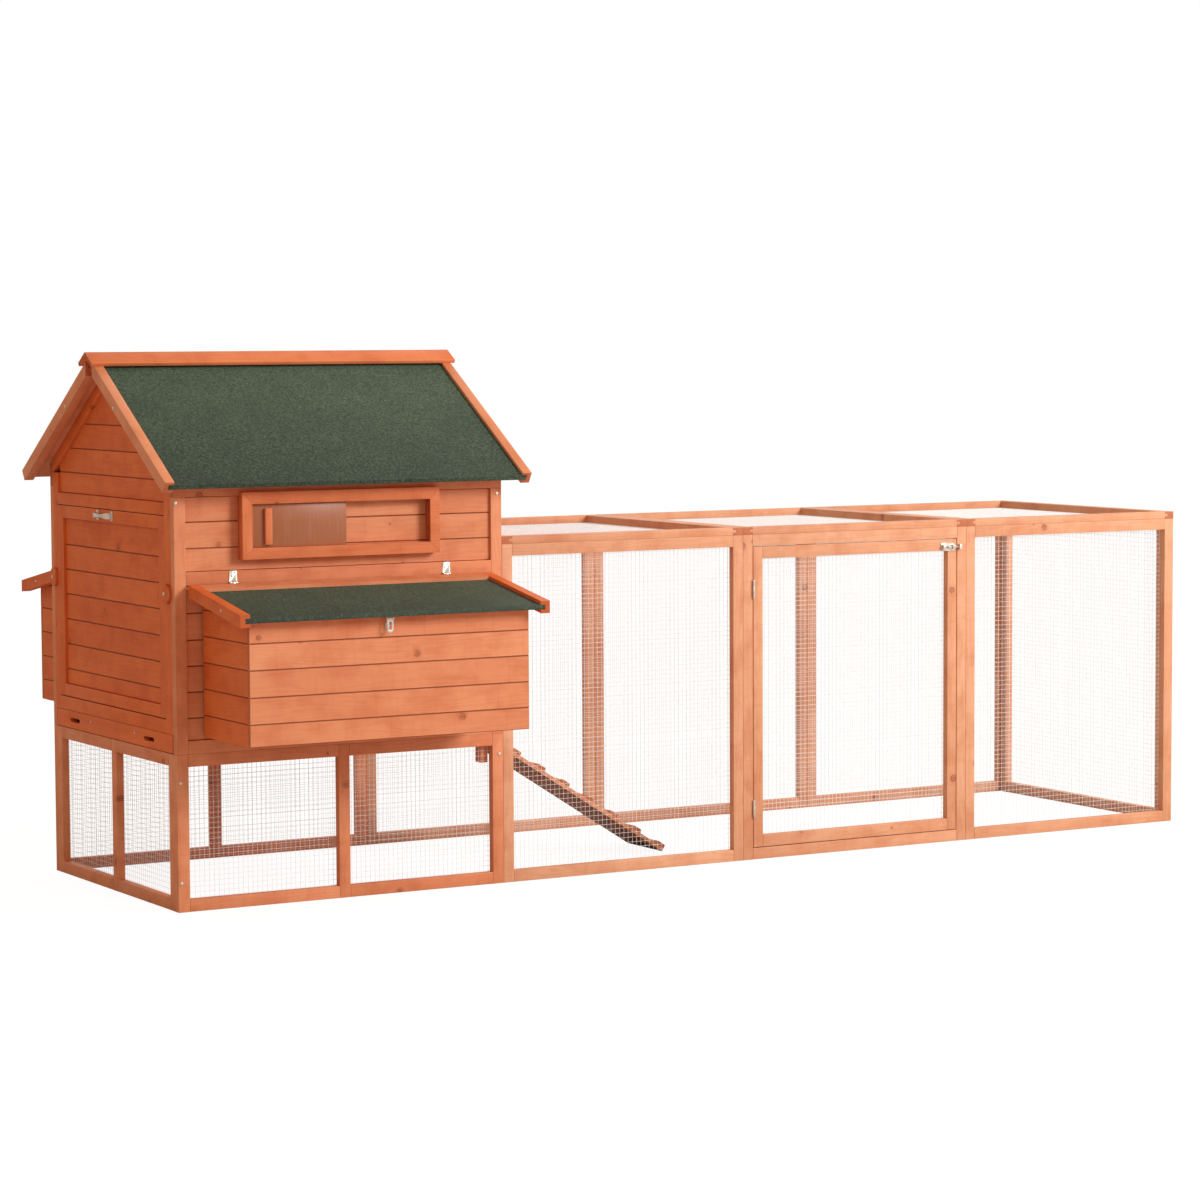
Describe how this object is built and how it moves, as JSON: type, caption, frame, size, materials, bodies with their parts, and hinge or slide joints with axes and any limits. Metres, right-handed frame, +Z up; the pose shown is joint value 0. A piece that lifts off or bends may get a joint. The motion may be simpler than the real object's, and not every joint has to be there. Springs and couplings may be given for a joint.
{
  "type": "chicken coop",
  "caption": "Timber chicken coop: raised house with felted roof, nest boxes and droppings tray, joined to a long low wire run with a ramp",
  "frame": {"origin": "on the ground, at the middle of the part's outer box", "axes": "+X runs along the part from the house to the far end of the run, +Y from the nest box in the usual front view to the back, +Z up"},
  "size_m": [3.091, 1.408, 1.3412],
  "materials": {
    "stained_wood": "orange-stained sawn softwood, satin",
    "roof_felt": "dark green mineral roofing felt, matt",
    "galvanised_mesh": "galvanised welded wire",
    "plated_steel": "zinc-plated steel",
    "tinted_pane": "brown-tinted clear plastic"
  },
  "bodies": {
    "coop": {"base_front": "stained_wood", "base_back": "stained_wood", "base_left": "stained_wood", "wall_front": "stained_wood", "wall_back": "stained_wood", "planks_front": "stained_wood", "planks_back": "stained_wood", "gable_left": "stained_wood", "gable_left_planks": "stained_wood", "gable_right": "stained_wood", "gable_right_planks": "stained_wood", "house_floor": "stained_wood", "roosts": "stained_wood", "roof_boards": "stained_wood", "roof_barges": "stained_wood", "ridge_cap": "stained_wood", "window_frame": "stained_wood", "nest_front": "stained_wood", "nest_back": "stained_wood", "run_front": "stained_wood", "run_back": "stained_wood", "run_end": "stained_wood", "run_roof": "stained_wood", "roof_felt": "roof_felt", "base_mesh": "galvanised_mesh", "window_mesh": "galvanised_mesh", "run_mesh": "galvanised_mesh", "run_roof_mesh": "galvanised_mesh", "lid_hinges_fixed": "plated_steel", "latch_pegs": "plated_steel", "button_screws": "plated_steel", "ramp_brackets": "plated_steel", "door_hinges_fixed": "plated_steel", "bolt_keeper": "plated_steel", "screws": "plated_steel"},
    "nest_lid_front_body": {"nest_lid_front": "stained_wood", "nest_felt_front": "roof_felt", "lid_hinges_moving_front": "plated_steel", "latch_bracket_front": "plated_steel"},
    "latch_front_body": {"latch_loop_front": "plated_steel"},
    "nest_lid_back_body": {"nest_lid_back": "stained_wood", "nest_felt_back": "roof_felt", "lid_hinges_moving_back": "plated_steel", "latch_bracket_back": "plated_steel"},
    "latch_back_body": {"latch_loop_back": "plated_steel"},
    "gable_door_body": {"gable_door": "stained_wood", "gable_door_planks": "stained_wood", "door_handle": "plated_steel"},
    "button_front_body": {"button_front": "stained_wood"},
    "button_rear_body": {"button_rear": "stained_wood"},
    "tray_body": {"tray": "stained_wood"},
    "pane_body": {"window_pane": "tinted_pane", "window_grip": "stained_wood"},
    "ramp_body": {"ramp_board": "stained_wood", "ramp_cleats": "stained_wood"},
    "run_door_body": {"run_door": "stained_wood", "run_door_mesh": "galvanised_mesh", "door_hinges_moving": "plated_steel", "bolt_case": "plated_steel"},
    "bolt_body": {"bolt_rod": "plated_steel"}
  },
  "joints": [
    {"name": "nest_lid_front_hinge", "type": "hinge", "parent": "coop", "child": "nest_lid_front_body", "pos_m": [-1.0555, -0.4029, 0.788], "axis": [-1, 0, 0], "range_deg": [0, 70]},
    {"name": "nest_lid_back_hinge", "type": "hinge", "parent": "coop", "child": "nest_lid_back_body", "pos_m": [-1.0555, 0.4029, 0.788], "axis": [1, 0, 0], "range_deg": [0, 70]},
    {"name": "latch_front_swing", "type": "hinge", "parent": "nest_lid_front_body", "child": "latch_front_body", "pos_m": [-1.0555, -0.683, 0.7085], "axis": [-1, 0, 0], "range_deg": [-9, 75]},
    {"name": "latch_back_swing", "type": "hinge", "parent": "nest_lid_back_body", "child": "latch_back_body", "pos_m": [-1.0555, 0.683, 0.7085], "axis": [1, 0, 0], "range_deg": [-9, 75]},
    {"name": "gable_door_drop", "type": "hinge", "parent": "coop", "child": "gable_door_body", "pos_m": [-1.4815, 0.005, 0.467], "axis": [0, -1, 0], "range_deg": [0, 90]},
    {"name": "button_front_turn", "type": "hinge", "parent": "coop", "child": "button_front_body", "pos_m": [-1.4903, -0.359, 0.765], "axis": [-1, 0, 0], "range_deg": [0, 180]},
    {"name": "button_rear_turn", "type": "hinge", "parent": "coop", "child": "button_rear_body", "pos_m": [-1.4903, 0.366, 0.765], "axis": [1, 0, 0], "range_deg": [0, 180]},
    {"name": "tray_slide", "type": "slide", "parent": "coop", "child": "tray_body", "axis": [-1, 0, 0], "range_m": [0, 0.7]},
    {"name": "pane_slide", "type": "slide", "parent": "coop", "child": "pane_body", "axis": [1, 0, 0], "range_m": [0, 0.228]},
    {"name": "ramp_lift", "type": "hinge", "parent": "coop", "child": "ramp_body", "pos_m": [-0.5855, -0.059, 0.3888], "axis": [0, -1, 0], "range_deg": [0, 30]},
    {"name": "run_door_hinge", "type": "hinge", "parent": "coop", "child": "run_door_body", "pos_m": [0.1467, -0.4025, 0.425], "axis": [0, 0, -1], "range_deg": [0, 110]},
    {"name": "bolt_slide", "type": "slide", "parent": "run_door_body", "child": "bolt_body", "axis": [1, 0, 0], "range_m": [0, 0.012]}
  ]
}
